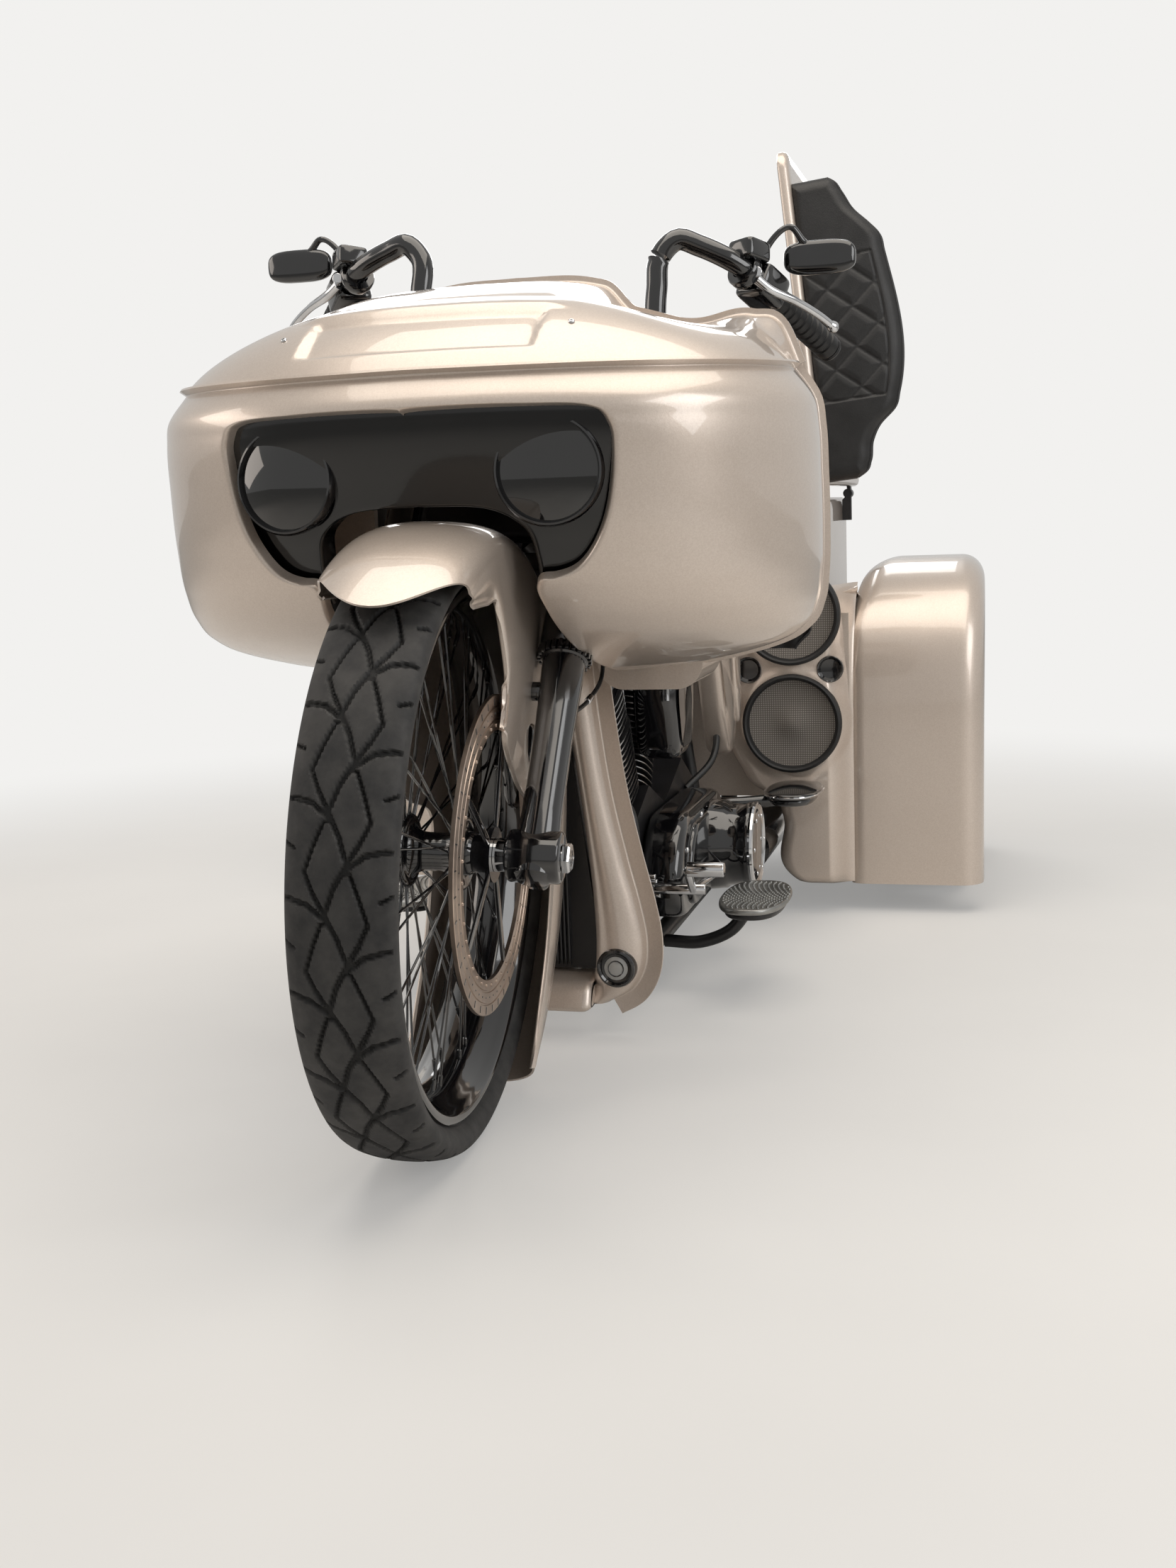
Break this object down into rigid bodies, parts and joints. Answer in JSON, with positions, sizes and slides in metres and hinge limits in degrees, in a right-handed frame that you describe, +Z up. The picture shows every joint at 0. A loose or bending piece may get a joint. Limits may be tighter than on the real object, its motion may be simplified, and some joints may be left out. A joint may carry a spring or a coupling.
{
  "type": "motorized touring trike",
  "caption": "Custom touring trike with a wide fairing, spoked front wheel, blacked-out V-twin, fendered rear wheels and a side-hinged trunk lid standing open",
  "frame": {"origin": "on the floor, below the centre of the bounding box", "axes": "+X is the rider's left, +Y points to the rear, +Z is up"},
  "size_m": [1.3, 2.4695, 1.4815],
  "materials": {
    "pearl": "champagne pearl under clear coat",
    "black_gloss": "deep gloss black powder coat",
    "black_satin": "satin black frame and engine coating",
    "chrome": "polished chrome plate",
    "tyre": "black tyre rubber",
    "ring_steel": "champagne-tinted ground steel",
    "lamp_glass": "smoked lamp lens",
    "leather": "black upholstery leather",
    "grille": "fine pale speaker mesh",
    "red_lens": "red tail lens",
    "cooler": "black anodised cooler core",
    "mirror_black": "gloss black mirror shell"
  },
  "bodies": {
    "chassis": {"frame_tubes": "black_satin", "engine_cases": "black_satin", "front_cylinder": "black_satin", "rear_cylinder": "black_satin", "primary_cover": "black_gloss", "air_cleaner": "black_gloss", "exhaust": "black_satin", "fuel_tank": "pearl", "seat": "leather", "fairing_shell": "pearl", "fairing_cap": "pearl", "mouth_liner": "black_gloss", "headlamps": "lamp_glass", "inner_fairing": "black_satin", "chin_surround": "pearl", "cooler_core": "cooler", "fog_lamps": "lamp_glass", "speaker_panel_left": "pearl", "speaker_panel_right": "pearl", "speaker_grilles": "grille", "fender_left": "pearl", "fender_right": "pearl", "trunk_box": "pearl", "trunk_hinges": "black_satin", "rear_axle": "black_satin", "floorboards": "chrome", "passenger_boards": "black_gloss", "tail_lamps": "red_lens", "plate_bracket": "black_satin"},
    "steering": {"fork_legs": "black_gloss", "fork_tubes": "black_gloss", "triple_clamps": "black_gloss", "front_axle": "black_gloss", "brake_caliper": "black_gloss", "front_fender": "pearl", "handlebar": "black_gloss", "left_controls": "chrome", "right_controls": "chrome", "mirrors": "mirror_black"},
    "front_wheel": {"front_tyre": "tyre", "front_rim": "black_gloss", "brake_rotor": "ring_steel"},
    "rear_wheel_left": {"rear_tyre_left": "tyre", "rear_rim_left": "black_gloss"},
    "rear_wheel_right": {"rear_tyre_right": "tyre", "rear_rim_right": "black_gloss"},
    "trunk_lid_body": {"trunk_lid": "pearl", "backrest_pad": "leather"}
  },
  "joints": [
    {"name": "steering", "type": "hinge", "parent": "chassis", "child": "steering", "pos_m": [0, -0.79676, 0.35473], "axis": [0, 0.5878, 0.809], "range_deg": [-14.5, 5.5]},
    {"name": "front_wheel_spin", "type": "hinge", "parent": "steering", "child": "front_wheel", "pos_m": [0.00471, -0.84515, 0.38989], "axis": [0.9969, 0.0635, -0.0461], "continuous": true},
    {"name": "rear_wheel_left_spin", "type": "hinge", "parent": "chassis", "child": "rear_wheel_left", "pos_m": [0.517, 0.8547, 0.33], "axis": [1, 0, 0], "continuous": true},
    {"name": "rear_wheel_right_spin", "type": "hinge", "parent": "chassis", "child": "rear_wheel_right", "pos_m": [-0.517, 0.8547, 0.33], "axis": [1, 0, 0], "continuous": true},
    {"name": "trunk_lid_hinge", "type": "hinge", "parent": "chassis", "child": "trunk_lid_body", "pos_m": [0.332, 0.8422, 0.834], "axis": [0, 1, 0], "range_deg": [-84, 0]}
  ]
}
